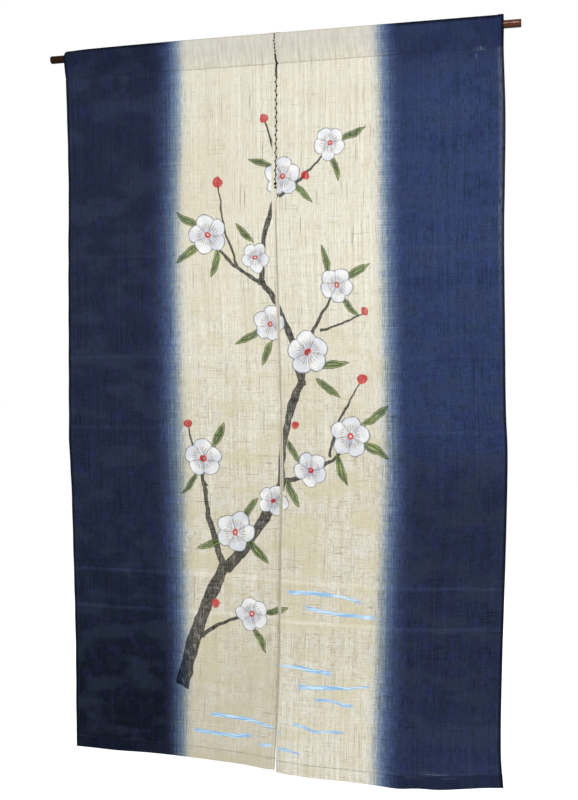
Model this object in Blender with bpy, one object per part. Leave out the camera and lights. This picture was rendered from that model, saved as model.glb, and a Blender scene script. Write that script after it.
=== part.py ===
"""A two-panel noren, a split door curtain, hanging on its round wooden rod.

Metres, +Z up, front towards -Y. The origin is on the rod's axis, at the middle of its length.
Each panel is one length of cloth: its top is folded to the back and sewn down as the rod
pocket, its sides and foot are hemmed, and it hangs in its own soft folds.
"""

from collections import namedtuple
from math import asin, cos, pi, sin, tan

import bmesh
import bpy
from mathutils import Matrix

# Rod
ROD_LENGTH = 0.985
ROD_RADIUS = 0.008
ROD_SIDES = 24
ROD_CHAMFER = 0.0008

# Panels
PANEL_WIDTH = 0.460
DROP = 1.500  # from the top crease to the foot, before a panel's own sag
CLOTH = 0.0012
GAP = 0.0003  # between the cloth and the rod, and on each side of the sewn slit
CREASE_HEIGHT = 0.0198  # of the top crease, over the rod's axis
POCKET_DEPTH = 0.062  # from the top crease to the pocket's seam
SEAM_WIDTH = 0.003  # over which the pocket's two layers become one
CREASE_BEND = 0.0022  # how far from the middle the top crease starts to turn over
CREASE_LAYER = 0.0016  # the cloth's height at the crease itself

# Hems, folded to the back
HEM_THICKNESS = 0.0008  # what a hem adds behind the cloth
SIDE_HEM = 0.010
FOOT_HEM = 0.026
HEM_STEP = 0.0015  # in which a hem's edge falls to the single cloth

# Mesh density
COLUMNS = 16  # across one panel, between its side hems
ROWS = 31  # down one panel, between the pocket's seam and the foot's hem
ARC_STEPS = 6  # round the rod, on one side of the pocket
FLANK_STEPS = 3  # down one side of the pocket, under the rod

# How each panel hangs: one row for each height at which its fall changes, at a drop below
# the top crease. Depths are how far the cloth's slit edge, middle and outer edge lie behind
# the rod's axis, so a minus sign is towards the viewer. Shifts move the two edges along +X.
# The row at 0.84 is the ridge of an old fold across both panels.
Fall = namedtuple("Fall", "drop slit_depth middle_depth outer_depth slit_shift outer_shift")
LEFT_FALLS = [
    Fall(0.062, 0.000, 0.000, 0.000, 0.0050, 0.0000),
    Fall(0.190, 0.000, -0.001, 0.000, 0.0042, 0.0030),
    Fall(0.315, 0.000, -0.002, 0.000, 0.0024, 0.0040),
    Fall(0.420, 0.000, -0.003, -0.001, 0.0046, 0.0026),
    Fall(0.600, -0.003, -0.005, -0.003, 0.0130, 0.0022),
    Fall(0.760, -0.008, -0.008, -0.005, 0.0180, 0.0020),
    Fall(0.840, -0.010, -0.010, -0.006, 0.0200, 0.0026),
    Fall(0.930, -0.008, -0.006, 0.000, 0.0195, 0.0037),
    Fall(1.050, -0.007, -0.003, 0.006, 0.0165, 0.0036),
    Fall(1.270, -0.010, -0.001, 0.009, 0.0120, 0.0060),
    Fall(1.430, -0.014, 0.000, 0.007, 0.0030, 0.0068),
    Fall(1.500, -0.016, 0.000, 0.005, -0.0015, 0.0085),
]
RIGHT_FALLS = [
    Fall(0.062, 0.000, 0.000, 0.000, 0.0050, -0.0010),
    Fall(0.190, 0.000, -0.001, 0.000, 0.0042, 0.0028),
    Fall(0.315, 0.000, -0.003, -0.001, 0.0024, 0.0020),
    Fall(0.420, -0.005, -0.006, -0.002, 0.0052, 0.0008),
    Fall(0.600, -0.009, -0.012, -0.005, 0.0110, 0.0028),
    Fall(0.760, -0.014, -0.019, -0.009, 0.0160, 0.0050),
    Fall(0.840, -0.017, -0.023, -0.012, 0.0175, 0.0085),
    Fall(0.930, -0.015, -0.020, -0.009, 0.0170, 0.0075),
    Fall(1.050, -0.015, -0.019, -0.006, 0.0140, 0.0045),
    Fall(1.270, -0.018, -0.026, -0.008, 0.0105, -0.0018),
    Fall(1.430, -0.021, -0.033, -0.009, 0.0045, -0.0037),
    Fall(1.500, -0.023, -0.036, -0.010, 0.0030, 0.0010),
]
# How much further than DROP the foot hangs at the slit edge, the middle and the outer edge
Sag = namedtuple("Sag", "slit middle outer")
LEFT_SAG = Sag(0.0030, -0.0020, -0.0020)
RIGHT_SAG = Sag(0.0065, 0.0100, 0.0030)

DYE_EDGE = 0.228  # of the indigo, from the middle of the curtain
INDIGO = (0.028, 0.038, 0.098, 1.0)
ECRU = (0.730, 0.680, 0.550, 1.0)
WALNUT = (0.090, 0.036, 0.020, 1.0)


def clear_scene():
    for obj in list(bpy.data.objects):
        bpy.data.objects.remove(obj, do_unlink=True)


def new_material(name, colour, roughness):
    material = bpy.data.materials.new(name)
    material.use_nodes = True
    shader = material.node_tree.nodes["Principled BSDF"]
    shader.inputs["Base Color"].default_value = colour
    shader.inputs["Roughness"].default_value = roughness
    shader.inputs["Metallic"].default_value = 0.0
    return material


def add_object(name, form, *materials):
    """Makes an object of a bmesh, with its faces pointing out."""
    bmesh.ops.recalc_face_normals(form, faces=form.faces)
    mesh = bpy.data.meshes.new(name)
    form.to_mesh(mesh)
    form.free()
    for material in materials:
        mesh.materials.append(material)
    mesh.shade_smooth()
    mesh.set_sharp_from_angle(angle=pi / 6)
    obj = bpy.data.objects.new(name, mesh)
    bpy.context.scene.collection.objects.link(obj)
    return obj


def slope(falls, column, i):
    """The steepness of a column of the table at row i, from its neighbours."""
    low, high = max(i - 1, 0), min(i + 1, len(falls) - 1)
    return (falls[high][column] - falls[low][column]) / (falls[high].drop - falls[low].drop)


def fall_at(falls, drop):
    """The row that holds at any drop, on smooth curves through the table's rows."""
    i = 0
    while i < len(falls) - 2 and drop > falls[i + 1].drop:
        i += 1
    span = falls[i + 1].drop - falls[i].drop
    t = min(max((drop - falls[i].drop) / span, 0.0), 1.0)
    values = [drop]
    for column in range(1, len(Fall._fields)):
        start, end = falls[i][column], falls[i + 1][column]
        leave, arrive = slope(falls, column, i) * span, slope(falls, column, i + 1) * span
        curve = start * (2 * t**3 - 3 * t**2 + 1) + end * (3 * t**2 - 2 * t**3)
        values.append(curve + leave * (t**3 - 2 * t**2 + t) + arrive * (t**3 - t**2))
    return Fall(*values)


def through_three(first, middle, last, t):
    """A value on the parabola through three values at t = 0, 1/2 and 1."""
    bend = 2 * (first + last) - 4 * middle
    return first + (last - first - bend) * t + bend * t**2


def hem_part(distance, width):
    """1 within a hem of this width from an edge, 0 past its step."""
    return min(max((width + HEM_STEP - distance) / HEM_STEP, 0.0), 1.0)


class Panel:
    """One length of cloth. side is -1 for the left panel and +1 for the right one."""

    def __init__(self, name, side, falls, sag):
        self.name, self.side, self.falls, self.sag = name, side, falls, sag

    def columns(self):
        """Places across the panel, 0 at the slit and 1 at the outer edge."""
        hem, step = SIDE_HEM / PANEL_WIDTH, HEM_STEP / PANEL_WIDTH
        first, last = hem + step, 1 - hem - step
        between = [first + (last - first) * i / COLUMNS for i in range(COLUMNS + 1)]
        return [0.0, hem, *between, 1 - hem, 1.0]

    def place_x(self, across, fall):
        slit = self.side * GAP + fall.slit_shift
        outer = self.side * PANEL_WIDTH + fall.outer_shift
        return slit + (outer - slit) * across

    def sheet_pair(self, across, drop):
        """A front and a back point of the single cloth, below the pocket."""
        fall = fall_at(self.falls, drop)
        share = (drop - POCKET_DEPTH) / (DROP - POCKET_DEPTH)
        z = CREASE_HEIGHT - drop - through_three(*self.sag, across) * share
        depth = through_three(fall.slit_depth, fall.middle_depth, fall.outer_depth, across)
        from_side = min(across, 1 - across) * PANEL_WIDTH
        hem = max(hem_part(from_side, SIDE_HEM), hem_part(DROP - drop, FOOT_HEM))
        x = self.place_x(across, fall)
        return (x, depth - CLOTH / 2, z), (x, depth + CLOTH / 2 + hem * HEM_THICKNESS, z)

    def section(self, across):
        """The cloth's section at one place across it, as pairs of an outer and an inner
        point: up the front from the foot, over the rod and down the back to the seam."""
        step = (DROP - FOOT_HEM - HEM_STEP - POCKET_DEPTH) / ROWS
        drops = [DROP, DROP - FOOT_HEM, *(POCKET_DEPTH + step * i for i in range(ROWS, 0, -1))]
        pairs = [self.sheet_pair(across, drop) for drop in [*drops, POCKET_DEPTH + SEAM_WIDTH]]
        at_seam = len(pairs) - 1
        x = self.place_x(across, self.falls[0])
        for front, inner in pocket_half():
            pairs.append(((x, -front[0], front[1]), (x, -inner[0], inner[1])))
        pairs.append(((x, 0.0, CREASE_HEIGHT), (x, 0.0, CREASE_HEIGHT - CREASE_LAYER)))
        for back, inner in reversed(pocket_half()[1:]):
            pairs.append(((x, back[0], back[1]), (x, inner[0], inner[1])))
        return pairs, at_seam

    def build(self, dyed, undyed):
        form = bmesh.new()
        across = self.columns()
        rings = []
        for place in across:
            pairs, at_seam = self.section(place)
            rings.append([tuple(form.verts.new(point) for point in pair) for pair in pairs])
        # The back layer's end is sewn to the sheet, so its last pair is two inner points of it.
        for ring in rings:
            ring.append((ring[at_seam][1], ring[at_seam + 1][1]))
        last = len(rings[0]) - 1
        for ring in (rings[0], rings[-1]):
            for i in range(last):
                form.faces.new((ring[i][0], ring[i + 1][0], ring[i + 1][1], ring[i][1]))
        for ring, following in zip(rings, rings[1:]):
            form.faces.new((ring[0][0], following[0][0], following[0][1], ring[0][1]))
            for i in range(last):
                for side in (0, 1):
                    if side == 1 and i == at_seam:
                        continue
                    corners = (ring[i][side], ring[i + 1][side])
                    others = (following[i + 1][side], following[i][side])
                    form.faces.new((*corners, *others))
        for face in form.faces:
            face.material_index = int(abs(face.calc_center_median().x) < DYE_EDGE)
        return add_object(self.name, form, dyed, undyed)


def pocket_half():
    """One side of the rod pocket, from its seam up to just under the top crease, as pairs of
    an outer and an inner point (distance from the middle, height)."""
    middle = ROD_RADIUS + GAP + CLOTH / 2  # the cloth's own middle, where it lies on the rod
    seam = CREASE_HEIGHT - POCKET_DEPTH
    below = asin(middle / seam)  # the turns at which the cloth leaves the rod
    above = asin(middle / (CREASE_HEIGHT - CLOTH / 2))
    half = [((CLOTH, seam), (0.0, seam))]
    leave = (middle * cos(below), middle * sin(below))
    for i in range(1, FLANK_STEPS):
        share = i / FLANK_STEPS
        out = CLOTH / 2 + (leave[0] - CLOTH / 2) * share
        up = seam + (leave[1] - seam) * share
        half.append(((out + CLOTH / 2, up), (out - CLOTH / 2, up)))
    # A chord between two steps cuts inside the arc, so the inner points stand out a little.
    outer = middle + CLOTH / 2
    inner = (middle - CLOTH / 2) / cos((above - below) / (2 * ARC_STEPS))
    for i in range(ARC_STEPS + 1):
        turn = below + (above - below) * i / ARC_STEPS
        half.append(tuple((reach * cos(turn), reach * sin(turn)) for reach in (outer, inner)))
    bend = CREASE_HEIGHT - CREASE_BEND * tan(above) / 2
    half.append(((CREASE_BEND, bend), (CREASE_BEND / 2, bend - CLOTH)))
    return half


def build_rod(material):
    form = bmesh.new()
    along_x = Matrix.Rotation(pi / 2, 4, "Y")
    bmesh.ops.create_cone(
        form,
        cap_ends=True,
        segments=ROD_SIDES,
        radius1=ROD_RADIUS,
        radius2=ROD_RADIUS,
        depth=ROD_LENGTH,
        matrix=along_x,
    )
    ends = [face for face in form.faces if len(face.verts) == ROD_SIDES]
    rims = [edge for face in ends for edge in face.edges]
    bmesh.ops.bevel(form, geom=rims, offset=ROD_CHAMFER, segments=1, affect="EDGES")
    return add_object("rod", form, material)


clear_scene()
build_rod(new_material("oiled_wood", WALNUT, 0.5))
linen = new_material("dyed_linen", INDIGO, 0.9), new_material("undyed_linen", ECRU, 0.9)
Panel("panel_left", -1, LEFT_FALLS, LEFT_SAG).build(*linen)
Panel("panel_right", 1, RIGHT_FALLS, RIGHT_SAG).build(*linen)
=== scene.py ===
from collections import namedtuple
from functools import reduce
from math import asin, atan2, copysign, cos, hypot, pi, radians, sin

import bpy
import numpy as np
from mathutils import Matrix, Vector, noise


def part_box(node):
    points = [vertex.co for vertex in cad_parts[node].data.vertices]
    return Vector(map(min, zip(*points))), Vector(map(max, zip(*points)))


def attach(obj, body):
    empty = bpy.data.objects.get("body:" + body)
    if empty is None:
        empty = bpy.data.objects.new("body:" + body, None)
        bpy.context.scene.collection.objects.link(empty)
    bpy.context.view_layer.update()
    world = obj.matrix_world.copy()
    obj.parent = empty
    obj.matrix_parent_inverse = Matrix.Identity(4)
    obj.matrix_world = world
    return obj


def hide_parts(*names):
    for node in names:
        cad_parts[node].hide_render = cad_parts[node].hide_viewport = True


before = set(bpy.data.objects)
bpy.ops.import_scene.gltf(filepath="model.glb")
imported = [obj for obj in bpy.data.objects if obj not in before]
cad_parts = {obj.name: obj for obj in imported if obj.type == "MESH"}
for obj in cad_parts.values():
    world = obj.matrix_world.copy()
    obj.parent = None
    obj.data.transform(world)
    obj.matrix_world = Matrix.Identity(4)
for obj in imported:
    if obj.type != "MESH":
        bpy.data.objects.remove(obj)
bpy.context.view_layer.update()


# Camera: a plain 50 mm lens a little to the right of the curtain, level with its middle and
# turned back towards it, as the photograph was taken. The frame is taken to be 578 x 800.
CAMERA_PLACE = (0.6, -2.212, -0.6587)
CAMERA_YAW, CAMERA_PITCH, CAMERA_ROLL = radians(14.48), radians(-1.666), radians(-0.24)
turn = Matrix.Rotation(CAMERA_YAW, 4, "Z") @ Matrix.Rotation(pi / 2 + CAMERA_PITCH, 4, "X")
bpy.ops.object.camera_add(location=CAMERA_PLACE)
camera = bpy.context.object
camera.rotation_euler = (turn @ Matrix.Rotation(CAMERA_ROLL, 4, "Z")).to_euler()
camera.data.sensor_width = 36.0
camera.data.lens = 50.39
bpy.context.scene.camera = camera


# Studio: a wide pale floor under the foot of the curtain, an even white surround, a soft light
# in front on the right, weaker ones on the left and behind, and a strip for the rod's gloss.
FLOOR_HEIGHT = -1.8
FLOOR_SIZE = 60.0


def set_sockets(node, values):
    for name, value in values.items():
        node.inputs[name].default_value = value


bpy.ops.mesh.primitive_plane_add(size=FLOOR_SIZE, location=(0.0, 0.0, FLOOR_HEIGHT))
floor = bpy.context.object
floor.name = "studio_floor"
floor_paint = bpy.data.materials.new("studio_floor_paint")
floor_paint.use_nodes = True
matt_white = {"Base Color": (1.0, 1.0, 1.0, 1.0), "Roughness": 1.0, "Specular IOR Level": 0.0}
set_sockets(floor_paint.node_tree.nodes["Principled BSDF"], matt_white)
floor.data.materials.append(floor_paint)

surround = bpy.data.worlds.new("surround")
surround.use_nodes = True
even_white = {"Color": (1.0, 1.0, 1.0, 1.0), "Strength": 1.0}
set_sockets(surround.node_tree.nodes["Background"], even_white)
bpy.context.scene.world = surround
bpy.context.scene.view_settings.view_transform = "Standard"

Softbox = namedtuple("Softbox", "name place aim height width watts")
SOFTBOXES = [
    Softbox("key_light", (1.9, -2.3, 0.8), (0.1, 0.0, -0.4), 0.8, 0.8, 60.0),
    Softbox("fill_light", (-2.0, -2.6, 0.4), (0.0, 0.0, -0.6), 1.6, 1.6, 16.0),
    Softbox("back_light", (-0.8, 3.2, 1.0), (0.0, 0.0, -0.6), 1.6, 1.6, 40.0),
    Softbox("rod_light", (0.367, -1.90, 0.89), (0.48, 0.0, 0.0), 1.1, 0.12, 9.0),
]
for box in SOFTBOXES:
    bpy.ops.object.light_add(type="AREA", location=box.place)
    light = bpy.context.object
    light.name = box.name
    light.data.shape = "RECTANGLE"
    light.data.size = box.height
    light.data.size_y = box.width
    light.data.energy = box.watts
    away = np.subtract(box.place, box.aim)
    light.rotation_euler = (0.0, atan2(hypot(away[0], away[1]), away[2]), atan2(away[1], away[0]))


# Rod: a turned hardwood rod, stained red-brown and oiled, 16 mm thick, that the curtain hangs
# from. It is drawn out ring by ring, a little uneven, and its cut ends are softened.
rod_low, rod_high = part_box("rod")
ROD_RADIUS = (rod_high[2] - rod_low[2]) / 2
ROD_LENGTH = rod_high[0] - rod_low[0]
ROD_RINGS = 31
ROD_END = 0.004  # length of the first and last ring, which keep the gloss straight
ROD_SIDES = 40
ROD_EDGE = 0.0006
ROD_UNEVEN = 0.012  # of its radius


def apply_place():
    bpy.ops.object.transform_apply(location=True, rotation=True, scale=True)


def deselect_all():
    if bpy.context.object and bpy.context.object.mode != "OBJECT":
        bpy.ops.object.mode_set(mode="OBJECT")
    bpy.ops.object.select_all(action="DESELECT")


def select_only(obj):
    deselect_all()
    obj.select_set(True)
    bpy.context.view_layer.objects.active = obj


def turn_faces_out():
    bpy.ops.object.mode_set(mode="EDIT")
    bpy.ops.mesh.select_all(action="SELECT")
    bpy.ops.mesh.normals_make_consistent(inside=False)
    bpy.ops.object.mode_set(mode="OBJECT")


def vertex_places(obj):
    places = np.empty(len(obj.data.vertices) * 3)
    obj.data.vertices.foreach_get("co", places)
    return places.reshape(-1, 3)


def set_vertex_places(obj, places):
    obj.data.vertices.foreach_set("co", np.asarray(places).ravel())
    obj.data.update()


def rest_on_root(piece, slot, *nodes):
    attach(piece, "root")
    if nodes:
        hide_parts(*nodes)


deselect_all()
bpy.ops.mesh.primitive_circle_add(
    vertices=ROD_SIDES, radius=ROD_RADIUS, fill_type="NGON",
    location=(rod_low[0], 0.0, 0.0), rotation=(0.0, pi / 2, 0.0),
)
rod = bpy.context.object
rod.name = "rod_oiled"
apply_place()
bpy.ops.object.mode_set(mode="EDIT")
bpy.ops.mesh.select_all(action="SELECT")
for step in (ROD_END, *[(ROD_LENGTH - 2 * ROD_END) / ROD_RINGS] * ROD_RINGS, ROD_END):
    bpy.ops.mesh.extrude_region_move(TRANSFORM_OT_translate={"value": (step, 0, 0)})
bpy.ops.object.mode_set(mode="OBJECT")
turn_faces_out()
rod_edge = rod.modifiers.new("softened ends", "BEVEL")
rod_edge.width = ROD_EDGE
rod_edge.segments = 3
rod_edge.limit_method = "ANGLE"
bpy.ops.object.modifier_apply(modifier=rod_edge.name)
rod_places = vertex_places(rod)
for place in rod_places:
    grain_place = (place[0] * 9.0, place[1] * 60.0, place[2] * 60.0)
    uneven = 1.0 + ROD_UNEVEN * noise.noise(grain_place)
    place[1:] *= min(uneven, 1.0)
set_vertex_places(rod, rod_places)
bpy.ops.object.shade_smooth_by_angle(angle=radians(40))


class Number:
    """A number in a material's nodes. Sums and products of numbers add the nodes for them."""

    def __init__(self, socket):
        self.tree, self.socket = socket.id_data, socket

    def worked(self, operation, *others):
        node = self.tree.nodes.new("ShaderNodeMath")
        node.operation = operation
        for slot, item in zip(node.inputs, (self, *others)):
            if isinstance(item, Number):
                self.tree.links.new(item.socket, slot)
            else:
                slot.default_value = item
        return Number(node.outputs[0])

    def __add__(self, other):
        return self.worked("ADD", other)

    def __sub__(self, other):
        return self.worked("SUBTRACT", other)

    def __mul__(self, other):
        return self.worked("MULTIPLY", other)

    def times_plus(self, factor, extra):
        return self.worked("MULTIPLY_ADD", factor, extra)

    def less(self, other):
        return self.worked("LESS_THAN", other)

    def least(self, other):
        return self.worked("MINIMUM", other)

    def most(self, other):
        return self.worked("MAXIMUM", other)

    def size(self):
        return self.worked("ABSOLUTE")

    def rise(self, low, high):
        """0 up to low, 1 from high on, and a soft slope between them."""
        node = self.tree.nodes.new("ShaderNodeMapRange")
        node.interpolation_type = "SMOOTHSTEP"
        self.tree.links.new(self.socket, node.inputs["Value"])
        set_sockets(node, {"From Min": low, "From Max": high})
        return Number(node.outputs["Result"])


def vector_node(operation, vector, *others):
    tree = vector.id_data
    node = tree.nodes.new("ShaderNodeVectorMath")
    node.operation = operation
    tree.links.new(vector, node.inputs[0])
    for slot, item in zip(node.inputs[1:], others):
        if isinstance(item, tuple):
            slot.default_value = item
        else:
            tree.links.new(item, slot)
    return node


def dot(place, way):
    return Number(vector_node("DOT_PRODUCT", place, way).outputs["Value"])


def grains(place, scales, detail=2.0, roughness=0.5):
    """Noise with so many grains a metre along each axis."""
    tree = place.id_data
    fitted = tree.nodes.new("ShaderNodeMapping")
    fitted.inputs["Scale"].default_value = (*scales, 1.0)[:3]
    tree.links.new(place, fitted.inputs["Vector"])
    node = tree.nodes.new("ShaderNodeTexNoise")
    set_sockets(node, {"Scale": 1.0, "Detail": detail, "Roughness": roughness})
    tree.links.new(fitted.outputs["Vector"], node.inputs["Vector"])
    return Number(node.outputs["Fac"])


def mixed(share, low, high):
    """A colour between two colours, each of them a plain colour or a node's output."""
    tree = share.tree
    node = tree.nodes.new("ShaderNodeMix")
    node.data_type = "RGBA"
    tree.links.new(share.socket, node.inputs["Factor"])
    for slot, item in ((node.inputs[6], low), (node.inputs[7], high)):
        if isinstance(item, tuple):
            slot.default_value = (*item, 1.0)
        else:
            tree.links.new(item, slot)
    return node.outputs[2]


def coated(colour, *coats):
    """A colour under several coats, each a share of cover and the coat's own colour."""
    for share, coat in coats:
        colour = mixed(share, colour, coat)
    return colour


def bumped(height, distance, strength):
    tree = height.tree
    node = tree.nodes.new("ShaderNodeBump")
    set_sockets(node, {"Strength": strength, "Distance": distance})
    tree.links.new(height.socket, node.inputs["Height"])
    tree.links.new(node.outputs["Normal"], tree.nodes["Principled BSDF"].inputs["Normal"])


def new_material(name, roughness):
    material = bpy.data.materials.new(name)
    material.use_nodes = True
    tree = material.node_tree
    tree.nodes["Principled BSDF"].inputs["Roughness"].default_value = roughness
    return material, tree, tree.nodes["Principled BSDF"]


def oiled_wood():
    material, tree, shader = new_material("oiled_wood", 0.10)
    place = tree.nodes.new("ShaderNodeTexCoord").outputs["Object"]
    grain = grains(place, (7.0, 420.0, 420.0), detail=4.0)
    figure = grains(place, (3.0, 70.0, 70.0), detail=3.0, roughness=0.6)
    pores = grains(place, (60.0, 2200.0, 2200.0)).rise(0.58, 0.7)
    # Painted shade: the rod darkens towards its left end, which lies in shade, and is less glossy there.
    along = dot(place, (1.0, 0.0, 0.0))
    stain_and_painted_shade = mixed(figure.rise(0.35, 0.65), (0.022, 0.004, 0.0005), (0.054, 0.01, 0.0005))
    stain_and_painted_shade = coated(
        stain_and_painted_shade,
        (grain.rise(0.4, 0.7) * 0.6, (0.088, 0.017, 0.001)),
        (along.rise(0.3, -0.3) * 0.94, (0.014, 0.007, 0.003)),
        (pores * 0.7, (0.005, 0.003, 0.002)),
    )
    # Painted shade: the top and underside are darkened, so that the front looks lighter.
    height = dot(place, (0.0, 0.0, 1.0)).size()
    stain_and_painted_shade = mixed(height.rise(0.0042, 0.0074) * 0.75, stain_and_painted_shade, (0.004, 0.001, 0.0005))
    tree.links.new(stain_and_painted_shade, shader.inputs["Base Color"])
    gloss = along.rise(-0.3, 0.3).times_plus(0.17, 0.02)
    tree.links.new(gloss.socket, shader.inputs["Specular IOR Level"])
    bumped(grain - pores, 0.0001, 0.15)
    return material


rod.data.materials.append(oiled_wood())
rest_on_root(rod, "rod_wood", "rod")


# Linen panels: two lengths of coarse hand-woven linen side by side on the rod. The top of each
# is folded to the back and sewn down as the rod's pocket, the sides are turned and the foot has
# a wider hem. Each is one thin sheet, hanging on the folds of its solid.
PANEL_WIDTH = 0.46
DROP = 1.5
GAP = 0.0003
CREASE_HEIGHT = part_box("panel_left")[1][2]
POCKET_DEPTH = 0.062
POCKET_TURNING = 0.008
SIDE_HEM = 0.01
FOOT_HEM = 0.026
CLOTH = 0.0008
LAYER = 0.0009  # from one layer of folded cloth to the next
HALF_WALL = 0.0006  # half of the thickness of the solids' cloth

# One row for each height at which a panel's fall changes, as in the solids: depths of its slit
# edge, middle and outer edge behind the rod's axis, and how far its two edges move along +X.
Fall = namedtuple("Fall", "drop slit_depth middle_depth outer_depth slit_shift outer_shift")


def listed(kind, *rows):
    return [kind(*row) for row in rows]


LEFT_FALLS = listed(
    Fall,
    (0.062, 0.0, 0.0, 0.0, 0.005, 0.0), (0.19, 0.0, -0.001, 0.0, 0.0042, 0.003),
    (0.315, 0.0, -0.002, 0.0, 0.0024, 0.004), (0.42, 0.0, -0.003, -0.001, 0.0046, 0.0026),
    (0.6, -0.003, -0.005, -0.003, 0.013, 0.0022), (0.76, -0.008, -0.008, -0.005, 0.018, 0.002),
    (0.84, -0.01, -0.01, -0.006, 0.02, 0.0026), (0.93, -0.008, -0.006, 0.0, 0.0195, 0.0037),
    (1.05, -0.007, -0.003, 0.006, 0.0165, 0.0036), (1.27, -0.01, -0.001, 0.009, 0.012, 0.006),
    (1.43, -0.014, 0.0, 0.007, 0.003, 0.0068), (1.5, -0.016, 0.0, 0.005, -0.0015, 0.0085),
)
RIGHT_FALLS = listed(
    Fall,
    (0.062, 0.0, 0.0, 0.0, 0.005, -0.001), (0.19, 0.0, -0.001, 0.0, 0.0042, 0.0028),
    (0.315, 0.0, -0.003, -0.001, 0.0024, 0.002), (0.42, -0.005, -0.006, -0.002, 0.0052, 0.0008),
    (0.6, -0.009, -0.012, -0.005, 0.011, 0.0028), (0.76, -0.014, -0.019, -0.009, 0.016, 0.005),
    (0.84, -0.017, -0.023, -0.012, 0.0175, 0.0085), (0.93, -0.015, -0.02, -0.009, 0.017, 0.0075),
    (1.05, -0.015, -0.019, -0.006, 0.014, 0.0045), (1.27, -0.018, -0.026, -0.008, 0.0105, -0.0018),
    (1.43, -0.021, -0.033, -0.009, 0.0045, -0.0037), (1.5, -0.023, -0.036, -0.01, 0.003, 0.001),
)
# How much further than DROP the foot hangs at the slit edge, the middle and the outer edge.
Sag = namedtuple("Sag", "slit middle outer")
LEFT_SAG = Sag(0.003, -0.002, -0.002)
RIGHT_SAG = Sag(0.0065, 0.01, 0.003)
# The foot's own waves: how far each hangs down, around a distance from the slit.
FootWave = namedtuple("FootWave", "across width fall")
LEFT_WAVES = [FootWave(0.02, 0.03, 0.0023), FootWave(0.365, 0.06, 0.0023)]
RIGHT_WAVES = listed(
    FootWave,
    (0.145, 0.05, -0.0023), (0.255, 0.03, 0.0034), (0.335, 0.035, 0.0024), (0.425, 0.03, -0.0015),
)
# The left panel's top crease slips down towards its outer corner.
CORNER_DROOP, CORNER_WIDTH = 0.004, 0.022
CREASE_DROOP, CREASE_WIDTH = 0.0018, 0.16
DROOP_DEPTH = 0.0157  # how far below the crease both have gone
CREASE_SHIFT = 0.0027  # how much less than the seam the crease is drawn to the right
# The hems' edges ripple: from one ripple to the next, its depth, and how far in it reaches.
RIPPLE_LENGTH, RIPPLE_DEPTH, RIPPLE_REACH = 0.083, 0.0005, 0.012

# Creases placed one by one. A crease's middle is at a distance from the slit and a drop; heading
# is its turn from level in degrees, rise how far it stands towards the viewer.
Crease = namedtuple("Crease", "across drop heading length width rise")
LEFT_CREASES = listed(
    Crease,
    (0.23, 0.835, 0, 0.6, 0.02, 0.0012), (0.23, 0.455, 0, 0.6, 0.014, -0.0006),
    (0.23, 1.215, 1, 0.6, 0.014, 0.0008), (0.4, 0.12, 62, 0.07, 0.016, -0.0012),
    (0.33, 0.26, 84, 0.16, 0.022, 0.0011), (0.12, 0.39, 78, 0.15, 0.02, -0.001),
    (0.43, 0.56, 86, 0.11, 0.014, 0.0014), (0.2, 0.7, 96, 0.14, 0.024, 0.001),
    (0.06, 0.96, 88, 0.13, 0.016, 0.0012), (0.36, 1.03, 74, 0.12, 0.02, -0.0013),
    (0.42, 1.18, 80, 0.09, 0.016, 0.0015), (0.15, 1.33, 84, 0.12, 0.022, 0.0013),
    (0.31, 1.4, 98, 0.09, 0.018, -0.0012),
)
RIGHT_CREASES = listed(
    Crease,
    (0.23, 0.838, 0, 0.6, 0.018, 0.0016), (0.23, 0.455, 0, 0.6, 0.014, -0.0007),
    (0.23, 0.985, -1, 0.6, 0.012, 0.0006), (0.23, 1.215, 0, 0.6, 0.014, 0.0008),
    (0.38, 0.13, 118, 0.08, 0.016, -0.0012), (0.1, 0.24, 96, 0.15, 0.022, 0.001),
    (0.3, 0.33, 88, 0.15, 0.02, -0.001), (0.43, 0.5, 92, 0.1, 0.014, 0.0014),
    (0.16, 0.64, 84, 0.16, 0.024, 0.0012), (0.35, 0.74, 97, 0.13, 0.018, -0.0012),
    (0.44, 0.9, 70, 0.06, 0.014, 0.0018), (0.24, 1.08, 91, 0.16, 0.026, 0.0015),
    (0.41, 1.2, 102, 0.1, 0.016, -0.0014), (0.08, 1.29, 86, 0.12, 0.018, 0.0012),
    (0.33, 1.4, 95, 0.09, 0.022, 0.0016),
)

# Mesh density
ACROSS_STEPS = 104
SHEET_STEPS = 268
SEAM_STEPS = 7
FLAP_STEPS = 4


def smooth_falls(falls, drops):
    """Every column of a fall table at many drops, on smooth curves through its rows."""
    table = np.array(falls)
    knots = table[:, 0]
    slopes = np.empty_like(table)
    slopes[1:-1] = (table[2:] - table[:-2]) / (knots[2:] - knots[:-2])[:, None]
    slopes[0] = (table[1] - table[0]) / (knots[1] - knots[0])
    slopes[-1] = (table[-1] - table[-2]) / (knots[-1] - knots[-2])
    i = np.clip(np.searchsorted(knots, drops) - 1, 0, len(knots) - 2)
    span = (knots[i + 1] - knots[i])[:, None]
    t = np.clip((drops - knots[i])[:, None] / span, 0.0, 1.0)
    curve = table[i] * (2 * t**3 - 3 * t**2 + 1) + table[i + 1] * (3 * t**2 - 2 * t**3)
    curve += slopes[i] * span * (t**3 - 2 * t**2 + t) + slopes[i + 1] * span * (t**3 - t**2)
    return curve.T


def through_three(first, middle, last, t):
    """Values on the parabola through three values at t = 0, 1/2 and 1."""
    bend = 2 * (first + last) - 4 * middle
    return first + (last - first - bend) * t + bend * t**2


def eased(t):
    t = np.clip(t, 0.0, 1.0)
    return t * t * (3 - 2 * t)


Panel = namedtuple("Panel", "name side falls sag waves creases")
LEFT = Panel("panel_left", -1, LEFT_FALLS, LEFT_SAG, LEFT_WAVES, LEFT_CREASES)
RIGHT = Panel("panel_right", 1, RIGHT_FALLS, RIGHT_SAG, RIGHT_WAVES, RIGHT_CREASES)


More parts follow.
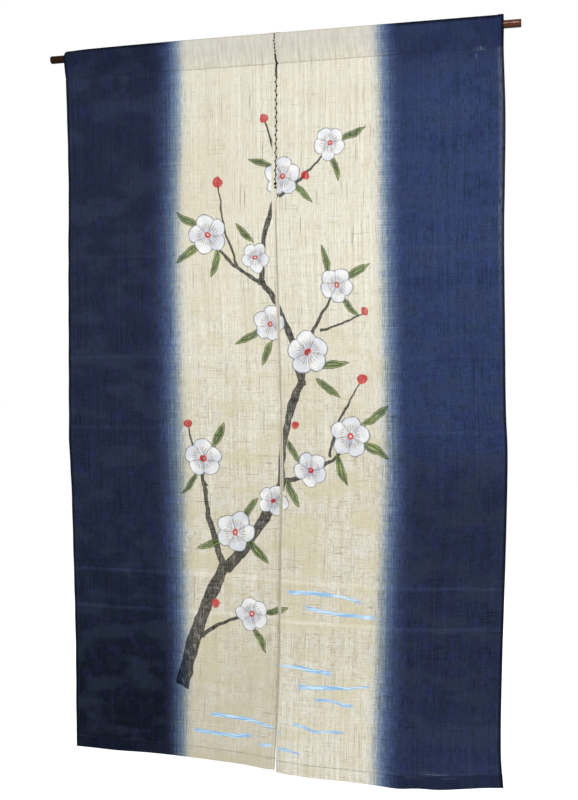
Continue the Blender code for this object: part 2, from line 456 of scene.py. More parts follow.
def hang(panel, from_slit, drop):
    """Places of the cloth's own middle, for arrays of distances from the slit and of drops."""
    across = from_slit / PANEL_WIDTH
    _, slit, middle, outer, slit_shift, outer_shift = smooth_falls(panel.falls, drop)
    # The pocket's seam draws the slit a little to the right, and the top crease less.
    at_crease = np.clip(1 - drop / POCKET_DEPTH, 0.0, 1.0)
    slit_x = panel.side * GAP + slit_shift - CREASE_SHIFT * at_crease
    outer_x = panel.side * PANEL_WIDTH + outer_shift
    depth = through_three(slit, middle, outer, across)
    below = np.clip(drop - POCKET_DEPTH, 0.0, None)
    for crease in panel.creases:
        heading = radians(crease.heading)
        right, down = from_slit - crease.across, drop - crease.drop
        along = (right * cos(heading) - down * sin(heading)) / crease.length
        over = (right * sin(heading) + down * cos(heading)) / crease.width
        depth = depth - crease.rise * np.exp(-(along**2) - over**2) * eased(below / 0.03)
    # The stitching of the pocket, the foot hem and the side hems draws the cloth in a little.
    from_side = np.minimum(from_slit, PANEL_WIDTH - from_slit)
    for distance, width, pull in (
        (drop - POCKET_DEPTH, 0.0022, 0.0007),
        (DROP - drop - FOOT_HEM + 0.002, 0.0022, 0.0005),
        (from_side - SIDE_HEM + 0.002, 0.0018, 0.0003),
    ):
        depth = depth + pull * np.exp(-((distance / width) ** 2))
    ripple = np.sin(drop * 2 * pi / RIPPLE_LENGTH + panel.side) * np.exp(-from_side / RIPPLE_REACH)
    depth = depth + RIPPLE_DEPTH * ripple * eased(below / 0.1)
    x = slit_x + (outer_x - slit_x) * across
    share = below / (DROP - POCKET_DEPTH)
    z = CREASE_HEIGHT - drop - through_three(*panel.sag, across) * share
    for wave in panel.waves:
        z = z - wave.fall * np.exp(-(((from_slit - wave.across) / wave.width) ** 2)) * share**3
    if panel.side < 0:
        inside = PANEL_WIDTH - from_slit
        droop = CORNER_DROOP * np.exp(-inside / CORNER_WIDTH)
        droop = droop + CREASE_DROOP * np.exp(-((inside / CREASE_WIDTH) ** 2))
        z = z - droop * np.clip(1 - drop / DROOP_DEPTH, 0.0, 1.0)
    return x, depth, z


def turned_edge(width, steps):
    """A turned edge from its hidden end round the fold: pairs of inset and layer, 1 behind."""
    radius = LAYER / 2
    back = [(width + (radius - width) * i / steps, 1.0) for i in range(steps)]
    turns = [pi / 2 - pi * i / 4 for i in range(5)]
    return back + [(radius - radius * cos(turn), (1 + sin(turn)) / 2) for turn in turns]


def pocket_profile():
    """Half the rod pocket's section, from its seam up to the top crease, as rows of
    distance from the middle, height, and the outward direction (out, up)."""
    middle = ROD_RADIUS + GAP + HALF_WALL
    seam, crease = CREASE_HEIGHT - POCKET_DEPTH, CREASE_HEIGHT - HALF_WALL
    below, above = asin(middle / seam), asin(middle / crease)
    rows = []
    for share in np.linspace(0.0, 1.0, 12)[1:-1]:
        out = middle * cos(below) * share
        up = seam + (middle * sin(below) - seam) * share
        rows.append((out, up, cos(below), sin(below)))
    for turn in np.linspace(below, above, 9):
        rows.append((middle * cos(turn), middle * sin(turn), cos(turn), sin(turn)))
    bend = 0.0016
    for share in (0.35, 0.7):
        out = middle * cos(above) * (1 - share) + bend * share
        up = middle * sin(above) * (1 - share) + (crease - bend * sin(above)) * share
        rows.append((out, up, cos(above), sin(above)))
    rows.append((bend, crease - bend * sin(above), cos(above), sin(above)))
    rows.append((bend * 0.55, crease - bend * 0.25, cos(above) * 0.6, 0.8))
    return rows


Row = namedtuple("Row", "drop back inward_y inward_z push_y push_z run")


def panel_rows():
    """The rows of a panel's mesh, up the front, over the rod and down the pocket's back. back
    is a row's own depth, inward the way to the cloth's wrong side, push how far it gives way
    to side hems under it, and run its place along the cloth, which the pattern follows."""
    rows = []
    for inset, layer in turned_edge(FOOT_HEM, FLAP_STEPS):
        facing = cos(layer * pi)
        lift = sin(layer * pi)
        run = -DROP - inset if layer > 0.5 else -DROP + inset
        rows.append(Row(DROP - inset, LAYER * layer, facing, lift, 2 * LAYER * layer, 0.0, run))
    hem_line = DROP - FOOT_HEM
    drops = [
        *np.linspace(DROP - LAYER, hem_line + 0.008, 5)[1:],
        *np.linspace(hem_line + 0.008, hem_line - 0.006, 10)[1:],
        *np.linspace(hem_line - 0.006, POCKET_DEPTH + 0.008, SHEET_STEPS)[1:],
        *np.linspace(POCKET_DEPTH + 0.008, POCKET_DEPTH, SEAM_STEPS)[1:],
    ]
    rows += [Row(drop, 0.0, 1.0, 0.0, 0.0, 0.0, -drop) for drop in drops]
    profile = pocket_profile()
    for out, up, out_y, out_z in profile:
        push = LAYER * min(out / 0.004, 1.0)
        drop = CREASE_HEIGHT - up
        rows.append(Row(drop, -out, out_y, -out_z, -push * out_y, push * out_z, -drop))
    rows.append(Row(HALF_WALL, 0.0, 0.0, -1.0, 0.0, LAYER, 0.0))
    for out, up, out_y, out_z in reversed(profile):
        near_seam = 1 - eased((up - CREASE_HEIGHT + POCKET_DEPTH) / 0.02)
        push = LAYER * (1 + near_seam)
        back = out + LAYER * near_seam
        drop = CREASE_HEIGHT - up
        rows.append(Row(drop, back, -out_y, -out_z, push * out_y, push * out_z, drop))
    for drop in np.linspace(POCKET_DEPTH, POCKET_DEPTH + POCKET_TURNING, FLAP_STEPS):
        rows.append(Row(drop, LAYER, -1.0, 0.0, 2 * LAYER, 0.0, drop))
    return rows


def panel_columns():
    """The columns of a panel's mesh from the slit outwards: distance from the slit, layer, and
    place across the cloth, which stays in the unpainted strip on the slit's turning."""
    edge = turned_edge(SIDE_HEM, 3)
    first = edge[-1][0]
    columns = [(inset, layer, inset * (-0.75 if layer > 0.5 else 1.0)) for inset, layer in edge]
    between = np.linspace(first, PANEL_WIDTH - first, ACROSS_STEPS)[1:-1]
    columns += [(place, 0.0, place) for place in between]
    for inset, layer in reversed(edge):
        beyond = PANEL_WIDTH + inset if layer > 0.5 else PANEL_WIDTH - inset
        columns.append((PANEL_WIDTH - inset, layer, beyond))
    return columns


def build_panel(panel, front, behind):
    rows, columns = panel_rows(), panel_columns()
    if panel.side < 0:
        columns = columns[::-1]  # the mesh runs from left to right
    deselect_all()
    across, along = len(columns) - 1, len(rows) - 1
    bpy.ops.mesh.primitive_grid_add(x_subdivisions=across, y_subdivisions=along, size=1.0)
    cloth = bpy.context.object
    cloth.name = panel.name + "_linen"
    flat = vertex_places(cloth)
    column = np.rint((flat[:, 0] + 0.5) * across).astype(int)
    row = np.rint((flat[:, 1] + 0.5) * along).astype(int)
    from_slit, layer, beyond = np.array(columns)[column].T
    drop, back, inward_y, inward_z, push_y, push_z, run = np.array(rows)[row].T
    x, depth, z = hang(panel, from_slit, drop)
    from_side = np.minimum(from_slit, PANEL_WIDTH - from_slit)
    hemmed = 1 - eased((from_side - SIDE_HEM) / 0.002)
    inward = LAYER * layer - CLOTH / 2
    y = depth + back + inward * inward_y + push_y * hemmed
    z = z + inward * inward_z + push_z * hemmed
    set_vertex_places(cloth, np.column_stack((x, y, z)))
    pattern = np.column_stack((np.where(beyond < 0, beyond, panel.side * beyond), run))
    corners = np.empty(len(cloth.data.loops), dtype=int)
    cloth.data.loops.foreach_get("vertex_index", corners)
    cloth.data.uv_layers[0].name = "cloth"
    cloth.data.uv_layers[0].uv.foreach_set("vector", pattern[corners].ravel())
    cloth.data.materials.append(front)
    cloth.data.materials.append(behind)
    thickness = cloth.modifiers.new("thickness of the cloth", "SOLIDIFY")
    thickness.thickness = CLOTH
    thickness.offset = -1.0
    thickness.material_offset = 1
    bpy.ops.object.modifier_apply(modifier=thickness.name)
    bpy.ops.object.shade_smooth_by_angle(angle=radians(60))
    rest_on_root(cloth, "linen", panel.name)
    return cloth


# Painted branch: a hand-painted flowering branch on the undyed middle of the cloth, with leaves
# and a few strokes of pale blue stream. Places are metres across from the slit and up from the
# top crease, so every height is below zero.
Stroke = namedtuple("Stroke", "x0 y0 x1 y1 thick0 thick1 bend")
BRANCHES = listed(
    Stroke,
    (-0.212, -1.352, -0.118, -1.085, 0.015, 0.012, 0.012),
    (-0.122, -1.1, 0.002, -0.898, 0.012, 0.01, -0.012),
    (-0.004, -0.912, 0.047, -0.7, 0.0098, 0.008, 0.013),
    (0.046, -0.714, -0.037, -0.498, 0.008, 0.0062, -0.014),
    (-0.036, -0.51, 0.012, -0.3, 0.006, 0.0044, 0.011),
    (0.011, -0.312, -0.024, -0.176, 0.004, 0.0018, -0.005),
    (-0.12, -1.098, -0.168, -0.862, 0.007, 0.003, 0.013),
    (-0.16, -0.925, -0.196, -0.8, 0.0032, 0.0016, 0.005),
    (-0.172, -1.24, -0.06, -1.19, 0.0052, 0.0024, 0.009),
    (-0.002, -0.905, 0.15, -0.822, 0.0066, 0.0028, -0.014),
    (0.1, -0.852, 0.172, -0.705, 0.0036, 0.0016, 0.009),
    (0.045, -0.706, 0.122, -0.52, 0.0052, 0.0022, 0.013),
    (0.088, -0.6, 0.178, -0.566, 0.0028, 0.0014, -0.005),
    (-0.034, -0.505, -0.152, -0.402, 0.0046, 0.002, 0.01),
    (-0.086, -0.47, -0.122, -0.302, 0.0032, 0.0014, 0.006),
    (0.006, -0.33, 0.112, -0.232, 0.0036, 0.0016, -0.007),
)
Blossom = namedtuple("Blossom", "x y radius turn")
BLOSSOMS = listed(
    Blossom,
    (0.146, -0.812, 0.043, 10), (0.062, -0.88, 0.037, 44), (-0.02, -0.948, 0.034, 70),
    (0.06, -0.645, 0.045, 25), (0.124, -0.512, 0.036, 62), (-0.022, -0.588, 0.036, 5),
    (-0.146, -0.404, 0.043, 33), (-0.046, -0.452, 0.031, 58), (0.014, -0.29, 0.039, 16),
    (0.112, -0.228, 0.034, 50), (-0.166, -0.866, 0.041, 21), (-0.1, -1.018, 0.044, 66),
    (-0.062, -1.186, 0.036, 38),
)
BUDS = (  # x, y, radius
    (-0.026, -0.17, 0.0095), (0.174, -0.698, 0.01), (0.181, -0.562, 0.009), (-0.123, -0.296, 0.01),
    (-0.198, -0.795, 0.0085), (0.031, -0.792, 0.0085), (-0.14, -1.168, 0.009), (0.062, -0.29, 0.008),
)
Leaf = namedtuple("Leaf", "x y heading length bow")
LEAVES = listed(
    Leaf,
    (0.196, -0.77, 34, 0.072, 0.35), (0.19, -0.838, -26, 0.078, -0.4), (0.128, -0.878, -72, 0.074, 0.3),
    (0.026, -0.842, 118, 0.062, -0.3), (0.024, -0.926, -64, 0.07, 0.4), (0.112, -0.672, 8, 0.074, -0.35),
    (0.102, -0.714, -38, 0.066, 0.25), (0.166, -0.486, 30, 0.07, -0.4), (0.15, -0.552, -52, 0.06, 0.35),
    (0.1, -0.462, 102, 0.066, 0.35), (-0.066, -0.612, 214, 0.07, -0.4), (-0.028, -0.648, 246, 0.062, 0.3),
    (-0.188, -0.372, 150, 0.066, -0.3), (-0.184, -0.442, 208, 0.072, 0.4),
    (-0.134, -0.46, 258, 0.066, -0.35), (-0.068, -0.402, 132, 0.058, 0.25),
    (0.052, -0.324, -40, 0.068, -0.4), (-0.03, -0.262, 160, 0.062, 0.35), (0.156, -0.21, 22, 0.064, 0.35),
    (0.122, -0.276, -74, 0.06, -0.4), (-0.136, -0.818, 62, 0.066, 0.3),
    (-0.196, -0.918, 236, 0.062, -0.3), (-0.052, -1.052, -46, 0.076, 0.4),
    (-0.068, -0.972, 58, 0.064, -0.35), (-0.012, -1.172, 16, 0.068, 0.25),
    (-0.048, -1.236, -60, 0.064, -0.4), (-0.152, -1.048, 196, 0.06, 0.35),
)
STREAMS = listed(
    Stroke,
    (0.016, -1.13, 0.176, -1.142, 0.0046, 0.0024, 0.006),
    (0.052, -1.156, 0.204, -1.168, 0.0034, 0.0044, -0.006),
    (-0.016, -1.286, 0.118, -1.292, 0.0026, 0.0048, 0.007),
    (0.04, -1.318, 0.196, -1.306, 0.005, 0.0022, -0.005),
    (0.08, -1.344, 0.164, -1.35, 0.003, 0.0036, 0.003),
    (-0.15, -1.404, 0.01, -1.42, 0.0046, 0.003, 0.007),
    (-0.186, -1.44, -0.052, -1.438, 0.003, 0.0048, -0.005),
    (0.032, -1.396, 0.15, -1.404, 0.0036, 0.0022, -0.004),
    (-0.04, -1.452, 0.056, -1.458, 0.0038, 0.0022, 0.004),
)
LEAF_WIDTH = 0.24  # of a leaf's half width, to its half length


def split(place):
    """The first two numbers of a place."""
    return dot(place, (1.0, 0.0, 0.0)), dot(place, (0.0, 1.0, 0.0))


def distance(place, x, y):
    return Number(vector_node("DISTANCE", place, (x, y, 0.0)).outputs["Value"])


def deepest(numbers):
    return reduce(Number.most, numbers)


def in_stroke(place, stroke, point):
    """How far inside a brush stroke a place lies, in metres. A stroke is a piece of a wide
    ring that grows thinner along its way. A low point draws its ends out to points."""
    dx, dy = stroke.x1 - stroke.x0, stroke.y1 - stroke.y0
    half = hypot(dx, dy) / 2
    x, y = (stroke.x0 + stroke.x1) / 2, (stroke.y0 + stroke.y1) / 2
    radius = (half**2 + stroke.bend**2) / (2 * abs(stroke.bend))
    out = (stroke.bend - copysign(radius, stroke.bend)) / (2 * half)
    from_ring = (distance(place, x - dy * out, y + dx * out) - radius).size()
    growth = (stroke.thick1 - stroke.thick0) / (4 * half**2)
    way = (dx * growth, dy * growth, 0.0)
    thick = (stroke.thick0 + stroke.thick1) / 2 - x * way[0] - y * way[1]
    width = dot(place, way) + thick - from_ring
    return width.least(distance(place, x, y).times_plus(-point, half * point))


def in_leaf(place, leaf):
    """How far inside a leaf a place lies, in metres. A leaf is where two circles overlap, and
    bow makes one of them the wider, so that the leaf curves."""
    half, sideways = leaf.length / 2, radians(leaf.heading) + pi / 2
    depths = []
    for side in (-1, 1):
        wide = LEAF_WIDTH * (1 + side * leaf.bow)
        radius = half * (1 + wide**2) / (2 * wide)
        away = side * half * (1 - wide**2) / (2 * wide)
        reach = distance(place, leaf.x + away * cos(sideways), leaf.y + away * sin(sideways))
        depths.append(reach.times_plus(-1.0, radius))
    return depths[0].least(depths[1])


def blossoms(place):
    """The place seen from the nearest blossom, in that blossom's radii: how far out it is, and
    its turn."""
    tree, nearest, middle = place.id_data, None, None
    for blossom in BLOSSOMS:
        here = (blossom.x, blossom.y, radians(blossom.turn))
        reach = distance(place, blossom.x, blossom.y) * (1 / blossom.radius)
        if nearest is None:
            nearest, middle = reach, here
            continue
        choice = tree.nodes.new("ShaderNodeMix")
        choice.data_type = "VECTOR"
        tree.links.new(reach.less(nearest).socket, choice.inputs["Factor"])
        if isinstance(middle, tuple):
            choice.inputs[4].default_value = middle
        else:
            tree.links.new(middle, choice.inputs[4])
        choice.inputs[5].default_value = here
        middle = choice.outputs[1]
        nearest = nearest.least(reach)
    right, up = split(vector_node("SUBTRACT", place, middle).outputs[0])
    return nearest, up.worked("ARCTAN2", right) - dot(middle, (0.0, 0.0, 1.0))


def painted(cloth, place, threads, strength):
    """The cloth's colour with the painted branch on it. threads is the weave, which shows
    through where the brush ran dry."""
    tree = place.id_data
    shaky = tree.nodes.new("ShaderNodeTexNoise")
    set_sockets(shaky, {"Scale": 26.0, "Detail": 2.0})
    tree.links.new(place, shaky.inputs["Vector"])
    shaky = vector_node("SUBTRACT", shaky.outputs["Color"], (0.5, 0.5, 0.5)).outputs[0]
    shaky = vector_node("MULTIPLY", shaky, (0.014, 0.014, 0.0)).outputs[0]
    place = vector_node("ADD", place, shaky).outputs[0]
    bristles = grains(place, (190.0, 60.0), detail=3.0, roughness=0.6)
    wash = grains(place, (28.0, 28.0), detail=3.0)
    dry = threads.rise(0.36, 0.62).times_plus(-0.16, 1.0)

    stream = deepest(in_stroke(place, stroke, 0.07) for stroke in STREAMS)
    ripples = grains(place, (18.0, 330.0))
    blue = mixed(ripples.rise(0.42, 0.6), (0.15, 0.32, 0.54), (0.42, 0.56, 0.64))
    blue = mixed(stream.rise(0.0014, 0.0004) * 0.6, blue, (0.11, 0.27, 0.56))
    cloth = mixed(stream.rise(-0.0002, 0.0008) * dry * strength, cloth, blue)

    bark = deepest(in_stroke(place, stroke, 1.0) for stroke in BRANCHES)
    charcoal = mixed(bristles.rise(0.42, 0.62), (0.004, 0.005, 0.007), (0.026, 0.025, 0.023))
    worn_bark = bark.rise(0.001, 0.006) * bristles.rise(0.52, 0.66)
    charcoal = mixed(worn_bark * 0.65, charcoal, (0.19, 0.182, 0.165))
    cloth = mixed(bark.rise(-0.0006, 0.0008) * dry * strength, cloth, charcoal)

    leaf = deepest(in_leaf(place, leaf) for leaf in LEAVES)
    green = mixed(wash.rise(0.38, 0.62), (0.026, 0.052, 0.016), (0.082, 0.13, 0.028))
    # The brush was drawn along the leaf, so light and dark hairs of it follow the outline.
    hairs = (leaf * 900.0 + bristles * 3.2 - 1.6).worked("SINE")
    green = mixed(hairs.rise(0.1, 0.9) * 0.72, green, (0.235, 0.275, 0.09))
    green = mixed(hairs.rise(-0.2, -0.9) * 0.65, green, (0.014, 0.028, 0.014))
    inked = leaf.rise(0.0026, 0.0008) * bristles.rise(0.34, 0.5)
    green = mixed(inked * 0.92, green, (0.008, 0.011, 0.01))
    cloth = mixed(leaf.rise(-0.0004, 0.0006) * dry * strength, cloth, green)

    reach, turn = blossoms(place)
    petal_turn = turn.worked("PINGPONG", pi / 5)
    # A petal is a circle of 0.47 radii whose middle lies 0.52 radii out.
    petal = (reach * petal_turn.worked("COSINE")).times_plus(1.04, 0.2209 - 0.2704)
    petal = petal - reach * reach
    cleft = petal_turn.rise(0.5, 0.62)
    white = mixed(wash.rise(0.35, 0.65), (0.44, 0.46, 0.5), (0.59, 0.59, 0.585))
    # From the first coat to the last: the shade round the middle, the brush's hairs, the clefts
    # between the petals, the ink outline, and the middle's rays, their tips and its red heart.
    hairs = (turn * 61.0 + wash * 9.0).worked("SINE").rise(0.2, 0.9)
    spokes = (turn * 23.0).worked("SINE")
    white = coated(
        white,
        (reach.rise(0.75, 0.25) * bristles.rise(0.4, 0.62) * 0.75, (0.225, 0.255, 0.31)),
        (hairs * reach.rise(0.95, 0.4) * 0.45, (0.3, 0.33, 0.39)),
        (cleft * reach.rise(0.95, 0.3) * 0.7, (0.12, 0.135, 0.165)),
        (
            petal.rise(0.075, 0.0) * bristles.rise(0.34, 0.5).times_plus(0.5, 0.48),
            (0.022, 0.024, 0.031),
        ),
        (
            spokes.rise(0.7, 0.95) * reach.rise(0.1, 0.14) * reach.rise(0.52, 0.46) * 0.85,
            (0.08, 0.028, 0.022),
        ),
        (
            spokes.rise(0.35, 0.8) * reach.rise(0.44, 0.47) * reach.rise(0.55, 0.51) * 0.9,
            (0.33, 0.2, 0.04),
        ),
        (reach.rise(0.19, 0.13), (0.33, 0.018, 0.022)),
    )
    cloth = mixed(petal.rise(-0.015, 0.015) * dry * strength, cloth, white)

    bud = deepest(distance(place, x, y).times_plus(-1.0, radius) for x, y, radius in BUDS)
    red = mixed(bristles.rise(0.45, 0.65), (0.29, 0.012, 0.018), (0.42, 0.07, 0.065))
    return mixed(bud.rise(-0.0006, 0.0008) * dry * strength, cloth, red)


# Linen and dye: uneven hand-spun threads, undyed in the middle and dipped in indigo on both
# sides, with a soft edge where the dye crept along the threads.
DYE_WIDTH = 0.085  # over which the dye grows from nothing to its full depth
DYE_STOPS = (  # share of the depth, and the colour there
    (0.0, 1.0, 1.0, 1.0), (0.13, 0.86, 0.895, 0.95), (0.27, 0.377, 0.479, 0.683),
    (0.4, 0.167, 0.257, 0.494), (0.53, 0.099, 0.152, 0.37), (0.67, 0.056, 0.086, 0.236),
    (0.82, 0.035, 0.053, 0.148), (1.0, 0.025, 0.037, 0.098),
)
THREAD = 0.0011
FOLD_LINES = (0.443, 0.656, 0.805, 1.11, 1.19)  # drops of the lines where it has lain folded


def linen(name, paint_strength):
    material, tree, shader = new_material(name, 0.95)
    shader.inputs["Specular IOR Level"].default_value = 0.02
    coordinates = tree.nodes.new("ShaderNodeUVMap")
    coordinates.uv_map = "cloth"
    place = coordinates.outputs["UV"]
    flat = vector_node("ADD", place, (0.0, 0.0, 0.0)).outputs[0]
    across, up = split(flat)
    from_middle = across.size()

    # Threads: pale where the weave lies open, brown-grey where a thread runs thick. The warp
    # runs straight down the whole cloth, and the weft shows more towards the foot.
    warp = grains(place, (500.0, 3.0), roughness=0.6)
    weft = grains(place, (10.0, 430.0), roughness=0.6)
    warp_bits = grains(place, (440.0, 60.0), detail=1.0)
    weft_bits = grains(place, (90.0, 460.0), detail=1.0)
    warp_slub = grains(place, (420.0, 11.0), detail=1.0).rise(0.63, 0.77)
    weft_slub = grains(place, (20.0, 440.0), detail=1.0).rise(0.63, 0.76)
    cloudy = grains(place, (11.0, 19.0))
    low = up.rise(-0.35, -1.05) - up.rise(-1.26, -1.44) * across.rise(-0.02, 0.02) * 0.65
    bands = grains(place, (75.0, 5.0))
    cloth = mixed(warp.rise(0.32, 0.68), (0.414, 0.392, 0.318), (0.56, 0.542, 0.47))
    cloth = coated(
        cloth,
        (bands.rise(0.44, 0.64) * low.times_plus(0.36, 0.14), (0.365, 0.332, 0.246)),
        (weft.rise(0.56, 0.3) * low.times_plus(0.42, 0.2), (0.355, 0.32, 0.238)),
        (weft_bits.rise(0.56, 0.72) * low.times_plus(0.62, 0.18), (0.265, 0.228, 0.155)),
        (warp_bits.rise(0.55, 0.72) * 0.36, (0.26, 0.235, 0.165)),
        (warp_bits.rise(0.44, 0.28) * low.times_plus(0.16, 0.3), (0.64, 0.632, 0.585)),
        (warp_slub * 0.78, (0.135, 0.112, 0.075)),
        (weft_slub * low.times_plus(0.38, 0.42), (0.17, 0.135, 0.082)),
    )
    # It has tanned in patches, and it greys towards the foot, on the left panel most. Painted shade darkens
    # the top third a little.
    hue = grains(place, (48.0, 34.0), detail=3.0, roughness=0.6)
    tanned = up.rise(-0.14, -0.24) * up.rise(-0.62, -0.4) * across.rise(-0.03, -0.14)
    grey = low * 0.2 + up.rise(-1.1, -1.42) * across.rise(0.03, -0.03).times_plus(0.45, -0.15)
    cloth = coated(
        cloth,
        (hue.rise(0.5, 0.66) * low.times_plus(0.2, 0.24), (0.492, 0.49, 0.47)),
        (cloudy.rise(0.44, 0.64) * low.times_plus(0.42, 0.18), (0.412, 0.376, 0.242)),
        (up.rise(-0.5, -0.05) * 0.24, (0.38, 0.356, 0.285)),
        (tanned * 0.3, (0.395, 0.355, 0.24)),
        (grey, (0.33, 0.305, 0.235)),
    )

    # Double cloth in the pocket and the foot hem: greyer, with waves where the weaves cross
    pocket = up.rise(-POCKET_DEPTH - 0.0015, -POCKET_DEPTH + 0.0005)
    foot = up.rise(-DROP + FOOT_HEM, -DROP + FOOT_HEM - 0.002)
    waves = grains(place, (170.0, 26.0)).rise(0.4, 0.66)
    greyed = pocket * up.rise(-0.06, -0.025).times_plus(0.46, 0.16)
    cloth = coated(
        cloth,
        (greyed, (0.356, 0.348, 0.318)),
        (pocket * waves * 0.3, (0.255, 0.238, 0.2)),
        (foot * across.rise(0.02, -0.02) * 0.12, (0.33, 0.3, 0.225)),
    )
    # Needle holes along the seams, darkened partly as painted shade of the stitches; painted shade along
    # the top crease, and along the edges of the slit, where one panel shades the other
    near_seam = (up + POCKET_DEPTH).size().least((up + (DROP - FOOT_HEM + 0.002)).size())
    cloth = coated(
        cloth,
        (near_seam.rise(0.0016, 0.0006) * warp_bits.rise(0.62, 0.4) * 0.55, (0.16, 0.135, 0.1)),
        (up.size().rise(0.003, 0.001) * 0.45, (0.2, 0.165, 0.11)),
        (from_middle.rise(0.0024, 0.0006) * 0.5, (0.25, 0.212, 0.14)),
    )
    threads = warp * 0.5 + weft * 0.5

    # Pale lines across the cloth where it has lain folded
    lines = deepest((up + fold).size().rise(0.0062, 0.0014) for fold in FOLD_LINES)
    lines = lines * weft.rise(0.25, 0.65)
    cloth = mixed(lines * up.rise(-0.75, -1.0).times_plus(0.2, 0.04), cloth, (0.68, 0.668, 0.61))

    # Hand-painted branch, kept clear of the slit hems
    if paint_strength > 0:
        clear = across.rise(0.0022, 0.003).most(across.rise(-0.0074, -0.0082))
        cloth = painted(cloth, flat, threads, clear * paint_strength)

    # Indigo. Its edge swings a little down the cloth and lies 7 mm further out on the right.
    swing = (up * (2 * pi / 1.6) + 2 * pi * 0.65 / 1.6).worked("COSINE")
    edge = across.worked("SIGN").times_plus(0.0035, 0.1920) + swing * 0.0060
    creep = (warp - 0.5) * 0.034 + (weft - 0.5) * 0.022 + (warp_bits - 0.5) * 0.012
    share = (from_middle - edge + creep) * (1 / DYE_WIDTH)
    dye = tree.nodes.new("ShaderNodeValToRGB")
    while len(dye.color_ramp.elements) < len(DYE_STOPS):
        dye.color_ramp.elements.new(0.5)
    for element, (position, *colour) in zip(dye.color_ramp.elements, DYE_STOPS):
        element.position = position
        element.color = (*colour, 1.0)
    tree.links.new(share.socket, dye.inputs["Fac"])
    tint = dye.outputs["Color"]
    full = share.rise(0.3, 0.95)
    # The right panel's navy is lighter and bluer further right, partly the dye's own tone and partly
    # painted light above the fold ridge near 0.8 m and towards the top. It is bluer at the foot as well.
    above_fold = up.rise(-0.935, -0.795).times_plus(0.8, 0.1) + up.rise(-0.6, -0.25) * 0.1
    above_fold = above_fold + up.rise(-1.36, -1.46) * 0.2
    foot_left = full * up.rise(-0.95, -1.42).times_plus(0.8, 0.1) * across.rise(0.05, -0.1)
    tint = coated(
        tint,
        (full * across.rise(0.0, 0.3) * above_fold, (0.044, 0.075, 0.23)),
        (foot_left, (0.0074, 0.0108, 0.025)),
        (full * up.rise(-0.15, -0.045) * 0.42, (0.018, 0.022, 0.062)),
        # Threads that took the dye unevenly: violet, green-black and pale ones
        (full * hue.rise(0.5, 0.68) * 0.38, (0.034, 0.037, 0.155)),
        (full * hue.rise(0.5, 0.32) * 0.38, (0.02, 0.038, 0.08)),
        (full * cloudy.rise(0.46, 0.64) * 0.36, (0.05, 0.075, 0.186)),
        (full * cloudy.rise(0.5, 0.36) * 0.22, (0.018, 0.027, 0.076)),
        (full * warp.rise(0.54, 0.74) * 0.12, (0.066, 0.096, 0.235)),
        (full * weft.rise(0.58, 0.76) * 0.12, (0.056, 0.088, 0.2)),
        (full * warp_bits.rise(0.54, 0.72) * 0.2, (0.01, 0.015, 0.036)),
        (full * weft_bits.rise(0.54, 0.72) * 0.2, (0.01, 0.015, 0.036)),
        (lines * full * 0.09, (0.11, 0.16, 0.34)),
    )

    # Where the dye took badly: the tacked right end of the pocket's seam, a few threads over the
    # right foot hem, and the outer hem of the right panel. It took best in the folded foot hem.
    tack = across.rise(0.4, 0.405) * across.rise(0.428, 0.42)
    tack = tack * (up + POCKET_DEPTH).size().rise(0.0048, 0.002)
    tail = (across - 0.4075).size().rise(0.0026, 0.001) * up.rise(-0.09, -0.08)
    tack = tack.most(tail * up.rise(-0.064, -0.07) * weft_bits.rise(0.56, 0.44)) * warp_bits.rise(0.58, 0.4)
    dash = up.rise(-1.484, -1.48) * up.rise(-1.464, -1.474) * across.rise(0.265, 0.275)
    dash = dash * across.rise(0.4, 0.36) * weft.rise(0.52, 0.66)
    worn = across.rise(0.4465, 0.45) * up.rise(-0.64, -0.36) * up.rise(-0.058, -0.066)
    # Painted shade: the outer folded edges and the top crease are darkened.
    rim = from_middle.rise(0.453, 0.4572) * from_middle.rise(0.466, 0.462)
    rim = rim.most(up.size().rise(0.0105, 0.004))
    tint = coated(
        tint,
        (tack * 0.36, (0.3, 0.4, 0.64)),
        (dash * 0.4, (0.3, 0.38, 0.56)),
        (worn * warp_bits.rise(0.78, 0.38) * 0.46, (0.19, 0.235, 0.33)),
        (foot * full * 0.55, (0.011, 0.018, 0.058)),
        (rim * full * 0.85, (0.007, 0.01, 0.026)),
    )
    colour = vector_node("MULTIPLY", cloth, tint).outputs[0]
    tree.links.new(colour, shader.inputs["Base Color"])

    over = (across * (pi / THREAD)).worked("COSINE") * (up * (pi / THREAD)).worked("COSINE")
    height = over * 0.35 + warp + weft + warp_slub + weft_slub
    bumped(height, 0.00035, 0.55)
    return material


front_linen = linen("dyed_linen_front", 0.96)
back_linen = linen("dyed_linen_back", 0.30)
panels = {panel.name: build_panel(panel, front_linen, back_linen) for panel in (LEFT, RIGHT)}


# Seams: running stitches in the cloth's own thread along the pocket, the foot hems and the side
# hems. One stitch is a short rounded bar, copied along each seam on both faces of the cloth.
STITCH_LENGTH = 0.003
STITCH_PITCH = 0.0046
STITCH_RADIUS = 0.00032


def stitch_bar():
    """The corners and faces of one stitch that lies along X."""
    deselect_all()
    bpy.ops.mesh.primitive_uv_sphere_add(segments=6, ring_count=4, radius=STITCH_RADIUS)
    bar = bpy.context.object
    bpy.ops.transform.rotate(value=pi / 2, orient_axis="Y", center_override=(0, 0, 0))
    apply_place()
    places = vertex_places(bar)
    places[:, 0] *= STITCH_LENGTH / (2 * STITCH_RADIUS)
    faces = [tuple(face.vertices) for face in bar.data.polygons]
    bpy.data.objects.remove(bar, do_unlink=True)
    return places, faces


def seam_stitches(panel, from_slit, drop, level):
    """Middles and directions of stitches along a seam, level or upright, on both faces."""
    step = 0.0008
    x, y, z = hang(panel, from_slit, drop)
    ahead = (step, 0.0) if level else (0.0, -step)
    x1, y1, z1 = hang(panel, from_slit + ahead[0] * panel.side, drop + ahead[1])
    middles = np.column_stack((x, y, z))
    along = np.column_stack((x1, y1, z1)) - middles
    return middles, along / np.linalg.norm(along, axis=1)[:, None]


